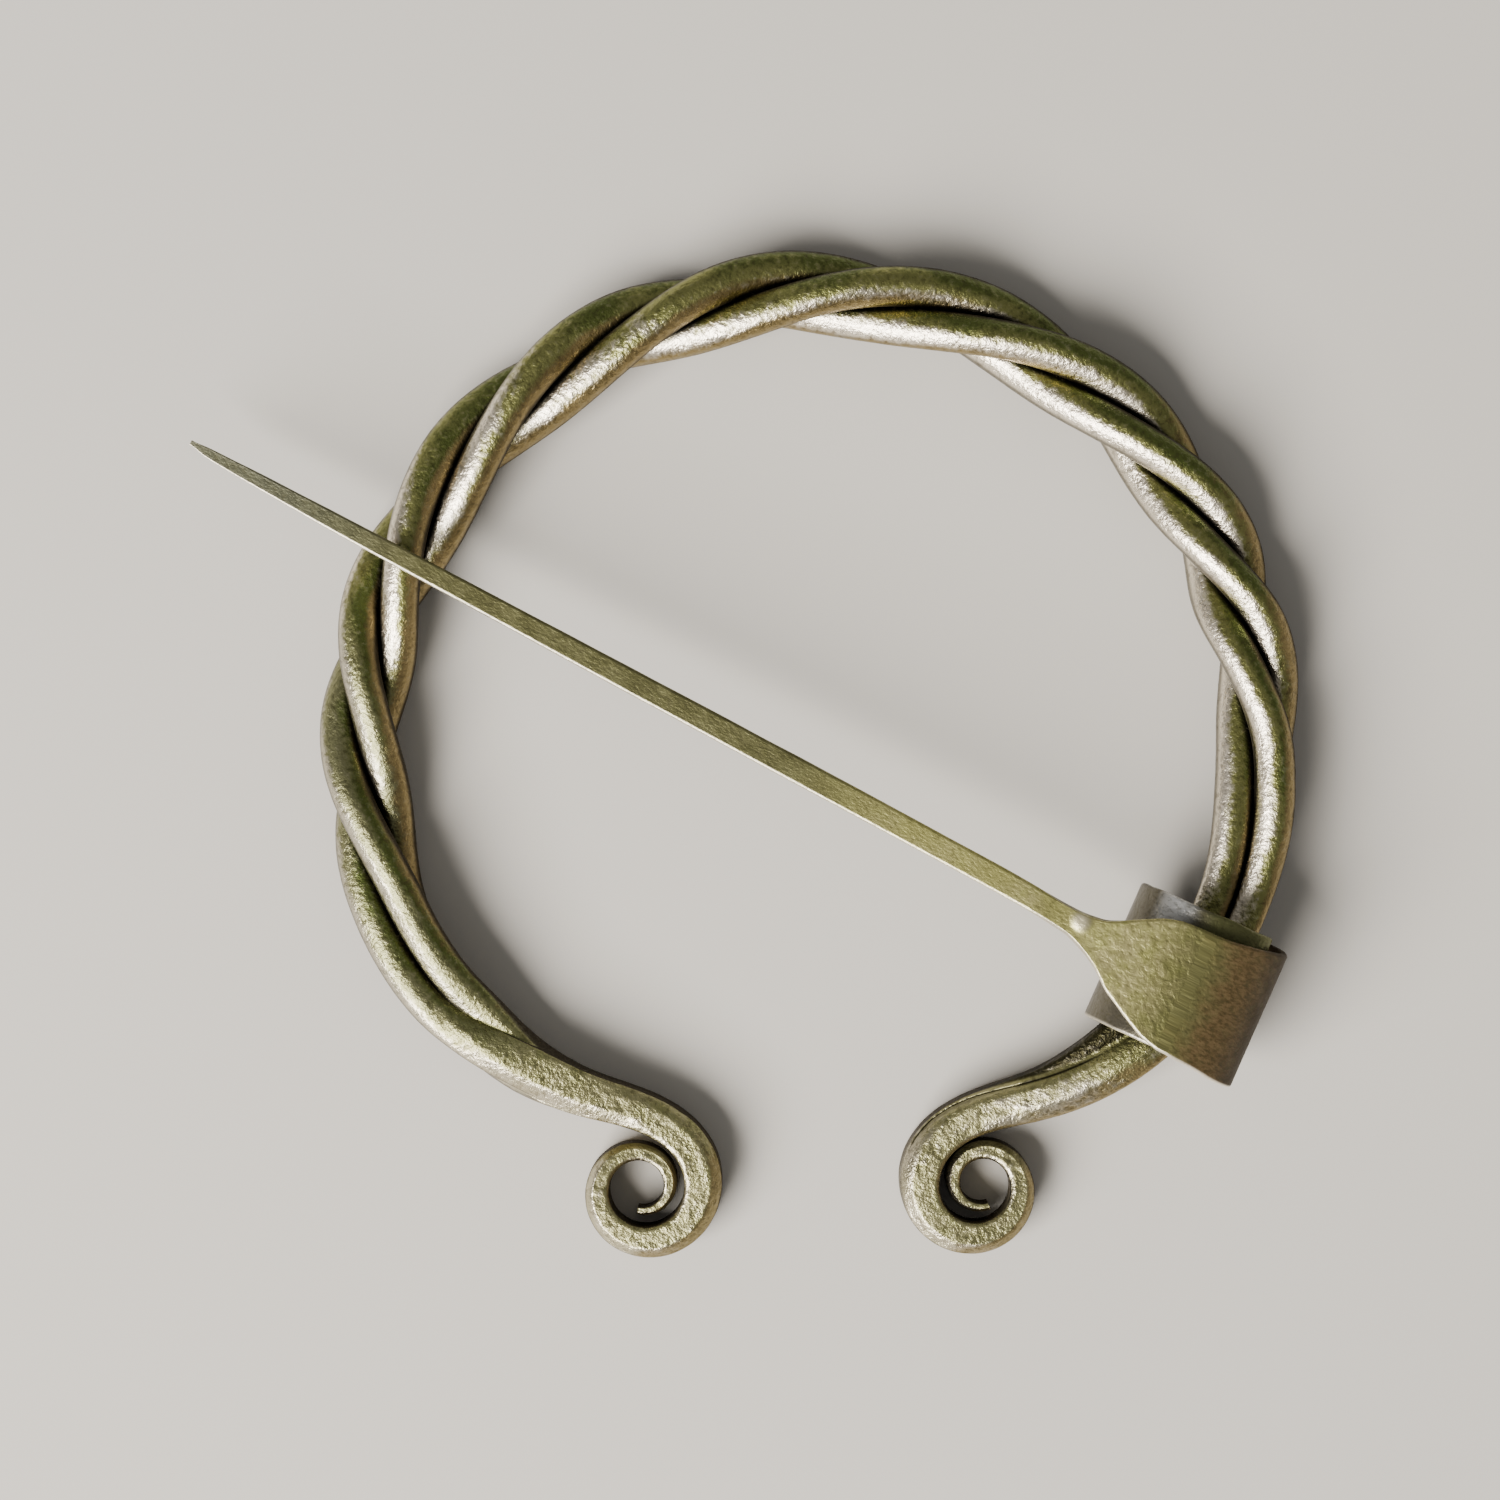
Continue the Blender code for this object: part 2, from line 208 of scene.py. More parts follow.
def hoop_section(end, sign, past):
    """One outline of the hoop: (outwards, height, depth between the rods with painted shade, welded)
    for every column.
    """
    arc_angle = end["arc_end"] + degrees(past / ring_radius)
    first_rod = 120.0 * through(twist_thirds, arc_angle if sign > 0 else 180.0 - arc_angle)
    thin = mix(1.0, thinned_rods, ease(*end["thinning"], past))
    flat = mix(1.0, flattened_rods, ease(*end["flattening"], past))
    welded = ease(*end["welding"], past)
    seam = end["seam_depth"] * welded * (1.0 - ease(*end["seam_closing"], past))
    into_scroll = max(past - end["easing"] - end["reversing"], 0.0)
    share = into_scroll / end["scroll_length"]
    narrowed = spaced(end["scroll_widths"], share)
    width = mix(end["neck_width"], narrowed, ease(*end["narrowing"], past))
    left = end["scroll_length"] - into_scroll
    width = mix(tip_width, width, ease(-tip_length / 2.0, tip_length, left))
    height = mix(bar_height, tip_height, share)
    bevel = min(bar_bevel, bar_bevel_limit * width)
    turn = radians(first_rod)
    middle = rod_diameter * (0.5 + weld_squeeze / sqrt(3.0))
    middle = mix(middle, height / 2.0, ease(*sinking, past))
    middle += end["lift"] * ease(*lifting, past) * (1.0 - ease(*lowering, past))
    edge = edge_fall * (1.0 - ease(*edge_falling, past))
    rim = rim_fall * ease(*rim_falling, past) * min(width / end["scroll_widths"][0], 1.0)
    seam_x = bar_outline(first_rod + 60.0, width / 2.0, height / 2.0, bevel)[0]
    outline = []
    for j in range(hoop_columns):
        x, z, groove_and_shade = rod_outline(j)
        rod_x = (x * cos(turn) - z * sin(turn)) * thin
        rod_z = (x * sin(turn) + z * cos(turn)) * thin * flat
        angle = first_rod + 360.0 * j / hoop_columns
        bar_x, bar_z = bar_outline(angle, width / 2.0, height / 2.0, bevel)
        off_seam = abs(360.0 * j / hoop_columns - 60.0)
        in_seam = max(1.0 - off_seam / seam_reach, 0.0) ** seam_sharpness
        fall = edge * ease(*sloping, 2.0 * bar_x / width)
        fall += rim * ease(*sloping, -2.0 * bar_x / width)
        beyond = min(seam / seam_shown, 1.0) * ease(0.0, 0.35, seam_x - bar_x)
        groove_and_shade *= 1.0 - welded
        # Beyond a deep seam the rod slopes down and gets painted shade.
        if bar_z > 0.0:
            bar_z *= 1.0 - (fall + seam_fall * beyond) / (height / 2.0)
            groove_and_shade = max(groove_and_shade, seam_shade * beyond)
        bar_z -= seam * in_seam
        groove_and_shade = max(groove_and_shade, in_seam * min(seam / seam_blackened, 1.0))
        outline.append(
            (mix(rod_x, bar_x, welded), middle + mix(rod_z, bar_z, welded), groove_and_shade, welded)
        )
    return outline


def wrapped(rings, marks):
    """A grid wrapped round the outlines and closed at both ends.

    An outline is a list of (point, skin, values): skin is the place on the unrolled surface,
    which the patterns follow, and each value becomes the vertex attribute that a mark names."""
    across, along = len(rings[0]), len(rings) - 1
    bm = bmesh.new()
    skin_layer = bm.verts.layers.float_vector.new("skin")
    layers = [bm.verts.layers.float.new(mark) for mark in marks]
    bmesh.ops.create_grid(bm, x_segments=across, y_segments=along, size=0.5)
    for vert in bm.verts:
        column = round((vert.co.x + 0.5) * across) % across
        row = round((vert.co.y + 0.5) * along)
        point, skin, *values = rings[row][column]
        vert[skin_layer] = skin * MM
        for layer, value in zip(layers, values):
            vert[layer] = value
        vert.co = point * MM
    bmesh.ops.remove_doubles(bm, verts=bm.verts, dist=1e-8)
    bmesh.ops.holes_fill(bm, edges=[edge for edge in bm.edges if edge.is_boundary], sides=0)
    bmesh.ops.recalc_face_normals(bm, faces=bm.faces)
    bm.normal_update()
    facing_layer = bm.verts.layers.float_vector.new("facing")
    for vert in bm.verts:
        vert[facing_layer] = vert.normal
    return bm


def finished(name, bm, sharp):
    """The mesh as a smooth-shaded object, sharp where its faces meet at more than an angle."""
    mesh = bpy.data.meshes.new(name)
    bm.to_mesh(mesh)
    bm.free()
    mesh.shade_smooth()
    mesh.set_sharp_from_angle(angle=radians(sharp))
    piece = bpy.data.objects.new(name, mesh)
    bpy.context.scene.collection.objects.link(piece)
    return piece


def lumps(where, size, drawn=1.0, seed=0.0):
    """Smooth noise from 0 to 1, its lumps of a size in millimetres and drawn out lengthwise."""
    place = Vector((where.x, where.y, where.z / drawn)) / (size * MM)
    return 0.5 + 0.5 * noise.noise(place + Vector((seed, 1.7 * seed, 0.3 * seed)))


def blows(where, size):
    """Hammer blows: near 1 in the hollow of each and 0 on the ridges between them."""
    nearest, second = noise.voronoi(where / (size * MM))[0][:2]
    return min((second - nearest) * 1.6, 1.0)


hoop_rings = []
rod_girth = 21.0
for end, sign in ((right_end, -1), (left_end, 1)):
    side = []
    arc_length = radians(end["arc_end"] - 90.0) * ring_radius
    for point, outward, past in half_path(end, hoop_spacing, hoop_turn):
        middle = Vector((sign * point.x, point.y, 0.0))
        across = Vector((sign * outward.x, outward.y, 0.0))
        ring = []
        for j, (x, z, groove_and_shade, welded) in enumerate(hoop_section(end, sign, past)):
            turn = 2.0 * pi * j / hoop_columns
            skin = Vector((rod_girth / 2.0 / pi * cos(turn), rod_girth / 2.0 / pi * sin(turn), 0.0))
            skin.z = sign * (past + arc_length)
            ring.append((middle + across * x + Vector((0.0, 0.0, z)), skin, groove_and_shade, welded))
        side.append(ring)
    hoop_rings += side[:0:-1] if sign < 0 else side

# The ring is drawn round its own centre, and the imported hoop's box says where that centre lies.
hoop_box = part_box("hoop")
drawn_points = [mark[0] for ring in hoop_rings for mark in ring]
ring_centre = Vector((
    sum(corner[i] for corner in hoop_box) / 2.0
    - (min(point[i] for point in drawn_points) + max(point[i] for point in drawn_points)) / 2.0 * MM
    for i in (0, 1)
)).to_3d()

bm = wrapped(hoop_rings, ("groove_and_shade", "welded"))
skin_layer = bm.verts.layers.float_vector["skin"]
groove_and_shade_layer = bm.verts.layers.float["groove_and_shade"]
welded_layer = bm.verts.layers.float["welded"]
for vert in bm.verts:
    skin, welded, groove_and_shade = vert[skin_layer], vert[welded_layer], vert[groove_and_shade_layer]
    uneven = hoop_uneven * lumps(skin, size=3.0, drawn=2.0)
    rippled = mix(*hoop_rippled, welded) * lumps(vert.co, size=0.8, seed=4.0)
    dented = bar_dented * welded * blows(vert.co, size=1.3)
    struck = (1.0 - groove_and_shade) * mix(1.0, abs(vert.normal.z), bar_sides_spared * welded)
    vert.co -= vert.normal * (inset + (uneven + rippled + dented) * struck) * MM
bmesh.ops.translate(bm, verts=bm.verts, vec=ring_centre)
hoop = finished("hoop_forged", bm, 60.0)


class Socket:
    """A shader socket that takes Python's operators; each operation adds its Math node."""

    def __init__(self, finish, output):
        self.finish, self.output = finish, output

    def maths(self, operation, first, second, clamp=False):
        settings = {"operation": operation, "use_clamp": clamp}
        return self.finish.node("ShaderNodeMath", settings, {0: first, 1: second})

    def __add__(self, other):
        return self.maths("ADD", self, other)

    def __mul__(self, other):
        return self.maths("MULTIPLY", self, other)

    def __sub__(self, other):
        return self.maths("SUBTRACT", self, other)

    def __rsub__(self, other):
        return self.maths("SUBTRACT", other, self)

    __radd__, __rmul__ = __add__, __mul__

    def rise(self, low, high):
        """0 below low and 1 above high, with a smooth rise between them."""
        settings = {"interpolation_type": "SMOOTHSTEP"}
        return self.finish.node("ShaderNodeMapRange", settings, {0: self, 1: low, 2: high})


class Finish:
    """A material whose nodes are made one at a time, each with its settings and its sockets."""

    def __init__(self, name, **constants):
        self.material = bpy.data.materials.new(name)
        self.material.use_nodes = True
        self.tree = self.material.node_tree
        self.shader = self.tree.nodes["Principled BSDF"]
        for socket, value in constants.items():
            self.shader.inputs[socket.replace("_", " ")].default_value = value

    def plug(self, target, value):
        if isinstance(value, Socket):
            self.tree.links.new(value.output, target)
        elif isinstance(value, tuple) and len(value) == 3 and target.type == "RGBA":
            target.default_value = (*value, 1.0)
        else:
            target.default_value = value

    def node(self, kind, settings, sockets, output=0):
        made = self.tree.nodes.new(kind)
        for name, value in settings.items():
            setattr(made, name, value)
        for name, value in sockets.items():
            self.plug(made.inputs[name], value)
        return Socket(self, made.outputs[output])

    def mark(self, name, output="Fac"):
        return self.node("ShaderNodeAttribute", {"attribute_name": name}, {}, output)

    def dot(self, vector, direction):
        settings = {"operation": "DOT_PRODUCT"}
        return self.node("ShaderNodeVectorMath", settings, {0: vector, 1: direction}, "Value")

    def facing(self, x, y, z=0.0):
        """How far the surface faces a direction, from -1 to 1, as it lies at rest."""
        return self.dot(self.mark("facing", "Vector"), (x, y, z))

    def reach(self, where, x, y, z=0.0):
        """How far a place lies in a direction, in millimetres."""
        return self.dot(where, (x, y, z)) * (1.0 / MM)

    def spots(self, where, size, detail=3.0, rough=0.55, warp=0.0):
        """Noise between 0 and 1 with spots of a size in millimetres."""
        sockets = {"Vector": where, "Scale": 1000.0 / size, "Detail": detail}
        sockets |= {"Roughness": rough, "Distortion": warp}
        return self.node("ShaderNodeTexNoise", {}, sockets)

    def turned(self, where, drawn=1.0):
        """Coordinates turned off the axes, so that noise shows no grid, and drawn out lengthwise."""
        sockets = {"Vector": where, "Scale": (1.0, 1.0, 1.0 / drawn), "Rotation": (0.6, 0.4, 0.8)}
        return self.node("ShaderNodeMapping", {}, sockets)

    def blend(self, share, under, over):
        settings = {"data_type": "RGBA"}
        return self.node("ShaderNodeMix", settings, {0: share, 6: under, 7: over}, 2)

    def bump(self, height, depth):
        """A bump of a depth in millimetres."""
        return self.node("ShaderNodeBump", {}, {"Height": height, "Distance": depth * MM})

    def wear(self, **sockets):
        for name, value in sockets.items():
            self.plug(self.shader.inputs[name.replace("_", " ")], value)


# Colours of the hoop: pale metal for a painted highlight where it faces the lamp, olive and green
# skin with painted shade away from it, painted shade on the steep sides and in the grooves, ochre and
# brown rust with a painted reflection and painted shade, and the dirt in its pits.
highlight_metal, dim_highlight_metal, hammered_metal = (0.93, 0.85, 0.71), (0.27, 0.265, 0.18), (0.40, 0.375, 0.215)
steep_side_shade, rubbed_metal = (0.13, 0.115, 0.08), (0.66, 0.61, 0.44)
olive_skin, green_skin_and_shade = (0.31, 0.315, 0.115), (0.10, 0.125, 0.035)
ochre_rust_and_reflection, brown_rust_and_shade = (0.32, 0.245, 0.11), (0.035, 0.027, 0.015)
painted_groove_shade, pit_dirt = (0.012, 0.010, 0.006), (0.06, 0.05, 0.025)


def forged_iron():
    """Iron pale where it faces the lamp, a painted highlight, under an olive skin on top with painted
    shade away from the lamp, and rusty down its sides, with painted reflection and painted shade
    there.
    """
    finish = Finish("forged_iron", Specular_IOR_Level=0.12)
    where = finish.node("ShaderNodeTexCoord", {}, {}, "Object")
    skin = finish.mark("skin", "Vector")
    groove_and_shade, welded = finish.mark("groove_and_shade"), finish.mark("welded")
    up = finish.facing(0.0, 0.0, 1.0)
    lamp_side = finish.facing(-0.78, -0.62)
    low_side = finish.facing(0.80, -0.60)
    broad = finish.spots(where, 6.0, 2.0)
    patches = finish.spots(skin, 1.6, 4.0, 0.6)
    pits = finish.spots(finish.turned(where), 0.42, 3.0, 0.6)
    grit = finish.spots(where, 0.13, 2.0, 0.6)
    mottle = (broad - 0.5) * 0.5 + (patches - 0.5) * 0.6 + (pits - 0.5) * 0.5
    # The painted highlight is dimmer on the lower left arm, and elsewhere the colours follow how the
    # surface faces the lamp.
    dim_highlight_arm = finish.reach(where, -0.8, -0.6).rise(14.0, 20.0) * (1.0 - welded)
    olive = (0.36 - lamp_side + mottle + dim_highlight_arm * 0.32).rise(0.0, 0.35)
    green = (0.04 - lamp_side + (broad - 0.5) * 1.6 + (pits - 0.5) * 0.6).rise(0.0, 0.5)
    ochre_and_reflection = (low_side * 1.4 - up * 0.3 + mottle).rise(0.05, 0.55)
    rust_and_shade = (0.42 - up - lamp_side * 0.3 + (patches - 0.5) * 0.3).rise(0.0, 0.4)
    hammered = welded * (patches.rise(0.3, 0.6) * 0.4 + 0.35)
    # Painted highlight: pale bare metal on the flanks that face the lamp, the olive skin elsewhere.
    colour = finish.blend(olive, highlight_metal, olive_skin)
    # Painted highlight dimmed on the lower left arm.
    colour = finish.blend(dim_highlight_arm * 0.55, colour, dim_highlight_metal)
    # Darker green on faces turned from the lamp: partly the green skin, partly painted shade.
    colour = finish.blend(green * (1.0 - welded * 0.5), colour, green_skin_and_shade)
    colour = finish.blend(hammered, colour, hammered_metal)
    # Painted shade: the steep sides are darkened.
    colour = finish.blend((0.60 - up).rise(0.0, 0.35) * 0.9, colour, steep_side_shade)
    # Ochre on the lower right flanks: partly rust, partly a painted warm reflection.
    colour = finish.blend(ochre_and_reflection * (1.0 - welded * 0.2), colour, ochre_rust_and_reflection)
    # Dark brown down the sides, most on those turned from the lamp: partly rust, partly painted
    # shade.
    colour = finish.blend(rust_and_shade * 0.95, colour, brown_rust_and_shade)
    # Painted shade in the grooves, in the seam and on the rod beyond it.
    colour = finish.blend(groove_and_shade.rise(0.6, 1.0), colour, painted_groove_shade)
    colour = finish.blend(pits.rise(0.50, 0.70) * 0.45, colour, pit_dirt)
    colour = finish.blend((1.0 - pits).rise(0.54, 0.68) * 0.15 * up, colour, rubbed_metal)
    roughness = 0.28 + olive * 0.06 + rust_and_shade * 0.35 + (patches - 0.5) * 0.2 + grit * 0.08
    metallic = 1.0 - green * 0.2 - rust_and_shade * 0.95
    finish.wear(Base_Color=colour, Roughness=roughness, Metallic=metallic)
    relief = (1.0 - pits) * (broad.rise(0.25, 0.6) * 0.6 + 0.5) - grit * 0.15
    finish.wear(Normal=finish.bump(relief * (0.9 + welded * 0.2), 0.13))
    return finish.material


hoop.data.materials.append(forged_iron())
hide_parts("hoop")
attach(hoop, "ring")

# The pin. One strip of iron, drawn out to a flat tapered shaft at one end and hammered thin and
# leaf-shaped at the other, where it is rolled once and a bit more round the hoop, so loosely
# that it slides and swings.
pin_thickness, tip_thickness, pin_bevel, pin_bevel_limit = 1.3, 0.8, 0.28, 0.4
roll_overlap, roll_gap, roll_rise = 52.0, 0.25, (3.0, 80.0)
plate_thickening, plate_squaring, point_thinning = (2.0, 10.0), (3.0, 9.0), 24.0
clearance, loop_skew = 0.3, 4.5
far_crossing, tip_overhang = 155.7, 16.2
loop_bore_radius, sheet_thickness = 4.6, 0.7
# Half widths of the strip either side of its middle, by distance back from the loop's top. They
# were drawn for a shaft of one length, and are stretched to reach across the ring.
drawn_length, unstretched = 77.5, 20.0
upper_edge = (
    (-77.5, 0.22), (-76.0, 0.34), (-73.5, 0.42), (-63.0, 0.60), (-42.0, 0.78), (-28.0, 0.84),
    (-15.0, 0.80), (-8.9, 0.66), (-7.1, 0.86), (-5.8, 1.40), (-4.4, 2.30), (-3.1, 3.00),
    (-1.7, 3.45), (1.0, 3.70), (3.8, 4.10), (8.0, 4.55), (13.0, 4.75), (20.0, 5.0),
)
lower_edge = (
    (-77.5, 0.22), (-76.0, 0.50), (-73.5, 0.64), (-63.0, 0.90), (-42.0, 1.04), (-28.0, 1.08),
    (-13.0, 1.12), (-9.0, 1.35), (-7.1, 1.95), (-6.1, 2.50), (-5.4, 3.05), (-4.7, 3.60),
    (-3.7, 4.10), (-2.7, 4.60), (-1.0, 5.30), (1.0, 5.6), (5.0, 5.95), (7.2, 5.85), (9.0, 5.55),
    (20.0, 5.40),
)
# The plate's edges waver, and a small boss stands in a hollow where the shaft meets the plate.
plate_waver, waver_length, wavering = 0.16, 1.7, (-7.0, -4.0)
boss_place, boss_rounding = -8.2, (0.27, 0.9)
neck_hollow, hollow_start, hollow_end = 0.14, (-12.0, -9.6), (-7.6, -5.0)
pin_uneven, pin_creased = (0.05, 0.035), (0.006, 0.02)
# How finely the strip is drawn: points round it, and the length or turn between two outlines.
top_columns, side_columns, corner_columns, under_columns = 56, 2, 4, 28
shaft_step, plate_step, plate_start, roll_step = 0.32, 0.16, -12.0, 1.7

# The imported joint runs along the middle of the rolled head.
joint = next(joint for joint in frame["joints"] if joint["name"] == "pin_lift")
centre = Vector(joint["pos_m"]) / MM - ring_centre / MM
axis = -Vector(joint["axis"])
far_side = Vector((cos(radians(far_crossing)), sin(radians(far_crossing)), 0.0)) * ring_radius
pin_length = (far_side.xy - centre.xy).length + tip_overhang
pointing = Matrix.Rotation(radians(-90.0 - loop_skew), 3, "Z") @ axis
square = Vector((-pointing.y, pointing.x, 0.0))
rolled = Vector((axis.y, -axis.x, 0.0))
sheet_radius = loop_bore_radius + sheet_thickness / 2.0
plate_radius = sheet_radius + sheet_thickness + roll_gap


def shaft_thickness(back):
    """Thickness of the strip, that far back from the top of the loop."""
    thick = mix(sheet_thickness, pin_thickness, ease(*plate_thickening, back))
    return mix(thick, tip_thickness, ease(pin_length - point_thinning, pin_length, back))


def strip_columns():
    """Round the strip: (across from -1 to 1, up from -1 to 1, direction of the rounding)."""
    columns = [(mix(-1.0, 1.0, i / top_columns), 1.0, 90.0) for i in range(top_columns)]
    columns += [(1.0, 1.0, 90.0 - 90.0 * i / corner_columns) for i in range(corner_columns)]
    columns += [(1.0, mix(1.0, -1.0, i / side_columns), 0.0) for i in range(side_columns)]
    columns += [(1.0, -1.0, -90.0 * i / corner_columns) for i in range(corner_columns)]
    columns += [(mix(1.0, -1.0, i / under_columns), -1.0, -90.0) for i in range(under_columns)]
    columns += [(-1.0, -1.0, -90.0 - 90.0 * i / corner_columns) for i in range(corner_columns)]
    columns += [(-1.0, mix(-1.0, 1.0, i / side_columns), 180.0) for i in range(side_columns)]
    columns += [(-1.0, 1.0, 180.0 - 90.0 * i / corner_columns) for i in range(corner_columns)]
    return columns


round_strip = strip_columns()


def pin_ring(middle, across, up, place_along, thickness):
    """One outline of the strip, and how far along, near its rim and on the boss each point is."""
    upper, lower = through(upper_edge, place_along), through(lower_edge, place_along)
    waver = plate_waver * ease(*wavering, place_along)
    upper -= waver * lumps(Vector((0.0, 0.0, place_along)) * MM, waver_length, seed=9.0)
    lower -= waver * lumps(Vector((8.0, 0.0, place_along)) * MM, waver_length, seed=9.0)
    half = thickness / 2.0
    bevel = min(pin_bevel, pin_bevel_limit * thickness, pin_bevel_limit * upper)
    ring = []
    for x, z, direction in round_strip:
        wide = mix(bevel - upper, lower - bevel, (x + 1.0) / 2.0) + bevel * cos(radians(direction))
        high = (half - bevel) * z + bevel * sin(radians(direction))
        rim = min((wide + upper) / 0.5, (lower - wide) / 0.5, 1.0)
        boss = 1.0 - ease(*boss_rounding, Vector((wide, place_along - boss_place)).length)
        skin = Vector((wide, high, place_along))
        point = middle + across * wide + up * high
        ring.append((point, skin, place_along, 1.0 - rim, boss if high > 0.0 else 0.0))
    return ring


hoop_top = rod_diameter * (1.0 + 2.0 * weld_squeeze / sqrt(3.0))
far_reach = pin_length - tip_overhang + rod_diameter
plate_top = centre.z + loop_bore_radius + 2.0 * sheet_thickness + roll_gap
drop = plate_top - shaft_thickness(far_reach) - clearance - hoop_top
slope = atan2(drop, far_reach)
falling = pointing * cos(slope) - Vector((0.0, 0.0, sin(slope)))
standing = pointing * sin(slope) + Vector((0.0, 0.0, cos(slope)))
start = centre + standing * plate_radius
stretch = (pin_length - unstretched) / (drawn_length - unstretched)
pin_rings = []
place_along = -drawn_length
while place_along < -1e-6:
    back = min(-place_along, unstretched) + max(-place_along - unstretched, 0.0) * stretch
    thick = shaft_thickness(back)
    turned = ease(*plate_squaring, back)
    across = (axis * (1.0 - turned) + square * turned).normalized()
    middle = start + falling * back - standing * (thick - sheet_thickness) / 2.0
    pin_rings.append(pin_ring(middle, across, standing, place_along, thick))
    place_along += shaft_step if place_along < plate_start else plate_step
around = 0.0
while around <= 360.0 + roll_overlap:
    settled = ease(*roll_rise, around - roll_overlap)
    radius = mix(plate_radius, sheet_radius, settled)
    angle = radians(90.0 - around) - slope
    spoke = -rolled * cos(angle) + Vector((0.0, 0.0, sin(angle)))
    arc = radians(around) * sheet_radius
    pin_rings.append(pin_ring(centre + spoke * radius, axis, spoke, arc, sheet_thickness))
    around += roll_step

bm = wrapped(pin_rings, ("along", "rim", "boss"))
skin_layer = bm.verts.layers.float_vector["skin"]
along_layer = bm.verts.layers.float["along"]
boss_layer = bm.verts.layers.float["boss"]
for vert in bm.verts:
    skin, along = vert[skin_layer], vert[along_layer]
    plate = ease(plate_start, -5.0, along)
    uneven = mix(*pin_uneven, plate) * lumps(skin, size=2.4, drawn=1.4, seed=2.0)
    creased = mix(*pin_creased, plate) * lumps(skin, size=0.7, seed=6.0)
    hollow = neck_hollow * ease(*hollow_start, along) * (1.0 - ease(*hollow_end, along))
    hollow *= 1.0 - vert[boss_layer] if vert.normal.z > 0.0 else 0.0
    vert.co -= vert.normal * (inset + uneven + creased + hollow) * MM
bmesh.ops.translate(bm, verts=bm.verts, vec=ring_centre)
pin = finished("pin_forged", bm, 60.0)


# Colours of the pin: its plate and neck, its shaft and point, painted shade over the bend of its head
# and a brown there, partly rust and partly a painted reflection, what shows of the inner turn with a
# painted sheen, the dirt in it, its darker sides, and painted highlights on its edge and its boss.
plate_olive, plate_green, neck_olive = (0.52, 0.48, 0.22), (0.39, 0.385, 0.135), (0.38, 0.365, 0.13)
shaft_dark, shaft_olive, point_grey = (0.10, 0.10, 0.042), (0.17, 0.165, 0.08), (0.17, 0.18, 0.15)
shaded_bend_green, bend_rust_and_reflection, bend_brown = (0.11, 0.115, 0.04), (0.18, 0.12, 0.06), (0.11, 0.07, 0.032)
bend_shade = (0.045, 0.03, 0.016)
inner_grey, painted_inner_sheen, inner_green = (0.145, 0.135, 0.105), (0.62, 0.63, 0.64), (0.13, 0.14, 0.05)
darker_sides, crease_dirt, grain_dirt = (0.06, 0.045, 0.025), (0.10, 0.09, 0.035), (0.07, 0.065, 0.03)
edge_highlight, boss_glint = (0.80, 0.74, 0.62), (0.86, 0.79, 0.62)


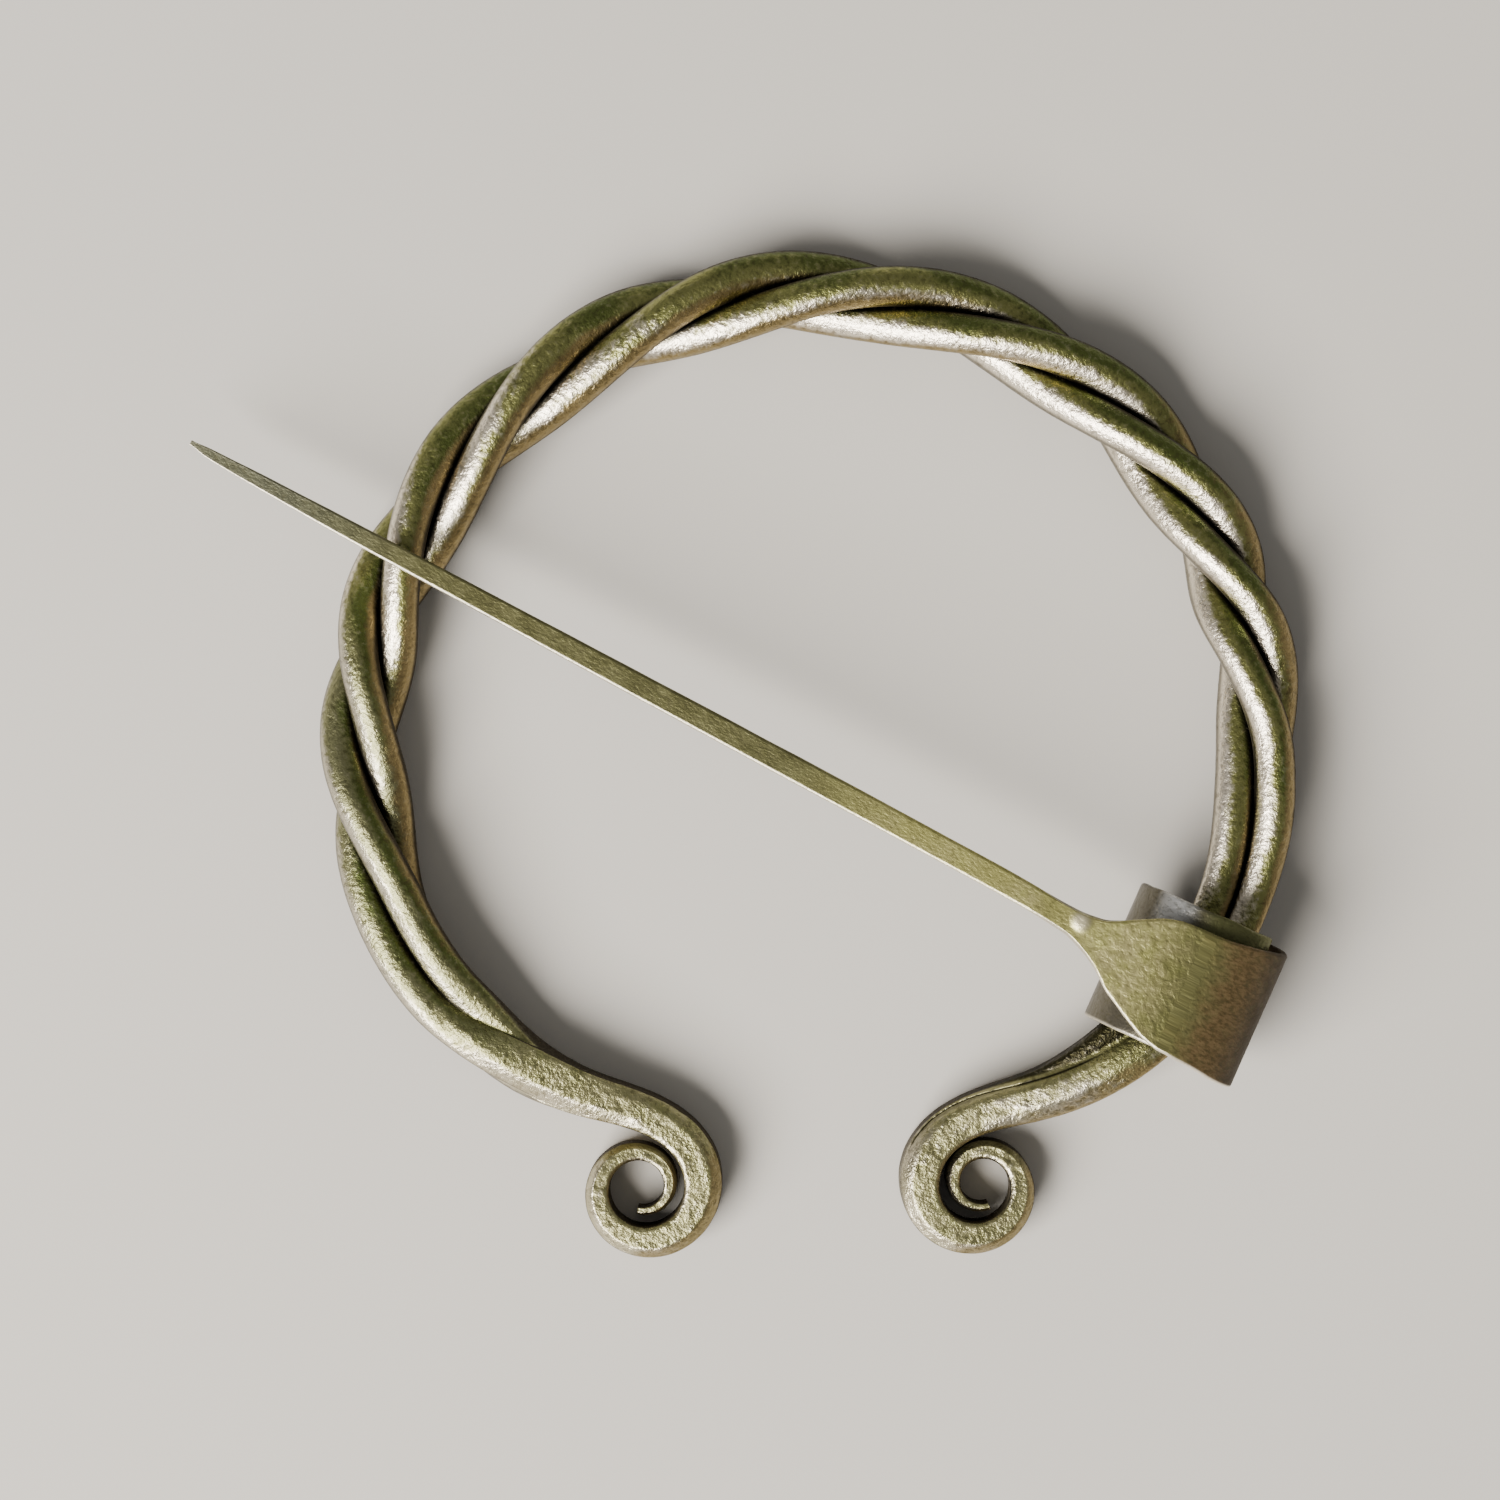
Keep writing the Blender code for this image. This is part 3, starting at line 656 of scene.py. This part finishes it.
def olive_iron():
    """Iron with a dull olive skin, greyer towards the point, with painted shade and a rusty colour
    over the bend that is partly a painted reflection, and painted highlights on its edge, boss and
    inner turn.
    """
    finish = Finish("olive_iron", Specular_IOR_Level=0.3)
    skin, along, rim = finish.mark("skin", "Vector"), finish.mark("along"), finish.mark("rim")
    up = finish.facing(0.0, 0.0, 1.0)
    aslant = finish.turned(skin)
    broad = finish.spots(skin, 5.0, 2.0)
    patches = finish.spots(aslant, 1.3, 4.0, 0.6)
    creases = finish.spots(aslant, 0.55, 3.0, 0.5, 0.3)
    grain = finish.spots(finish.turned(skin, 2.0), 0.2, 3.0, 0.6)
    grit = finish.spots(skin, 0.13, 2.0, 0.6)
    # Each part of the strip by its distance from the loop's top, back down the shaft or on round.
    back = 0.0 - along
    plate = along.rise(-9.0, -5.0)
    bright = back.rise(6.0, 10.0) * (1.0 - back.rise(22.0, 34.0))
    shaft = back.rise(20.0, 32.0)
    grey = back.rise(58.0, 72.0)
    place = along + (patches - 0.5) * 3.0
    shaded, bend, deep = place.rise(-3.8, -0.2), place.rise(-0.4, 1.8), place.rise(2.0, 5.0)
    under = along.rise(9.0, 14.0)
    # Painted highlight on the inner turn, on its upper side.
    painted_sheen = along.rise(26.0, 27.4) * (1.0 - along.rise(28.0, 30.0))
    painted_sheen = painted_sheen * finish.reach(skin, -1.0, 0.0).rise(1.5, 3.5)
    worn = (patches * 0.6 + grain * 0.4).rise(0.42, 0.60)
    # Painted highlight on the strip's edge where it faces the lamp.
    painted_edge_highlight = rim.rise(0.3, 0.9) * finish.facing(-0.5, -0.86).rise(-0.1, 0.3)
    colour = finish.blend(patches.rise(0.35, 0.7), plate_olive, plate_green)
    colour = finish.blend(bright * broad.rise(0.25, 0.6), colour, neck_olive)
    colour = finish.blend(shaft * 0.9, colour, finish.blend(worn, shaft_dark, shaft_olive))
    colour = finish.blend(grey * 0.5, colour, point_grey)
    # Painted shade where the plate bends down, green and then dark brown.
    colour = finish.blend(shaded * 0.75, colour, shaded_bend_green)
    # Brown over the bend: partly rust grain, partly a painted reflection.
    rust_and_reflection = finish.blend(grain.rise(0.38, 0.62), bend_rust_and_reflection, bend_brown)
    colour = finish.blend(bend * 0.9, colour, rust_and_reflection)
    colour = finish.blend(deep * 0.85, colour, bend_shade)
    colour = finish.blend(under * 0.9, colour, inner_grey)
    colour = finish.blend(painted_sheen * under, colour, painted_inner_sheen)
    colour = finish.blend(along.rise(29.0, 31.0) * 0.8, colour, inner_green)
    # Darker on the steep sides and underside.
    colour = finish.blend((0.35 - up).rise(0.0, 0.4) * 0.7, colour, darker_sides)
    colour = finish.blend(creases.rise(0.50, 0.70) * 0.3 * plate, colour, crease_dirt)
    colour = finish.blend(grain.rise(0.50, 0.70) * 0.45, colour, grain_dirt)
    colour = finish.blend(painted_edge_highlight * 0.8, colour, edge_highlight)
    # Painted glint on the boss.
    colour = finish.blend(finish.mark("boss") * 0.55, colour, boss_glint)
    dulled = (bend * 0.4 + deep * 0.6) * (1.0 - under)
    roughness = 0.33 + grit * 0.10 + (patches - 0.5) * 0.14 + dulled * 0.3
    metallic = 0.9 - creases * 0.2 - dulled * 0.6
    finish.wear(Base_Color=colour, Roughness=roughness, Metallic=metallic)
    relief = (1.0 - creases) * (plate * 0.8 + 0.2) + (1.0 - grain) * (0.4 - plate * 0.35)
    finish.wear(Normal=finish.bump(relief - grit * 0.1, 0.08))
    return finish.material


pin.data.materials.append(olive_iron())
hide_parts("pin")
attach(pin, "pin")

# The table and the light. The brooch lies flat on a plain pale top, seen from straight above, and
# one soft light comes in low from the lower left.
table_half = 1.5
bm = bmesh.new()
bmesh.ops.create_grid(bm, x_segments=1, y_segments=1, size=table_half)
table = finished("table", bm, 60.0)
pale = Finish("pale_table", Roughness=0.75, Base_Color=(0.68, 0.66, 0.62, 1.0))
table.data.materials.append(pale.material)

world = bpy.data.worlds.new("studio")
world.use_nodes = True
sky = world.node_tree.nodes["Background"]
sky.inputs["Color"].default_value = (1.0, 0.97, 0.92, 1.0)
sky.inputs["Strength"].default_value = 0.22
bpy.context.scene.world = world


def soft_light(name, bearing, height, distance, size, power, colour):
    """A square area light turned to the brooch, by compass bearing and height in degrees."""
    lamp = bpy.data.lights.new(name, "AREA")
    lamp.size, lamp.energy, lamp.color = size, power, colour
    light = bpy.data.objects.new(name, lamp)
    flat = cos(radians(height))
    light.location = Vector((
        flat * cos(radians(bearing)), flat * sin(radians(bearing)), sin(radians(height)),
    )) * distance
    light.rotation_euler = light.location.to_track_quat("Z", "Y").to_euler()
    bpy.context.scene.collection.objects.link(light)


soft_light("window", 222.0, 42.0, 0.8, 0.55, 17.0, (1.0, 0.95, 0.88))

# The camera. It looks straight down, with the picture 105 mm wide at the height of the rods.
frame_width = 105.0
lens, sensor = 100.0, 36.0
picture_pixels = 1500.0
ring_pixel = (812.0, 742.0)
millimetres_per_pixel = frame_width / picture_pixels
from_ring = Vector((
    picture_pixels / 2.0 - ring_pixel[0], ring_pixel[1] - picture_pixels / 2.0, 0.0,
)) * millimetres_per_pixel * MM
eye = bpy.data.cameras.new("overhead")
eye.lens, eye.sensor_width = lens, sensor
eye.clip_start = 0.01
camera = bpy.data.objects.new("overhead", eye)
height = frame_width * lens / sensor + hoop_top / 2.0
camera.location = ring_centre + from_ring + Vector((0.0, 0.0, height * MM))
bpy.context.scene.collection.objects.link(camera)
bpy.context.scene.camera = camera
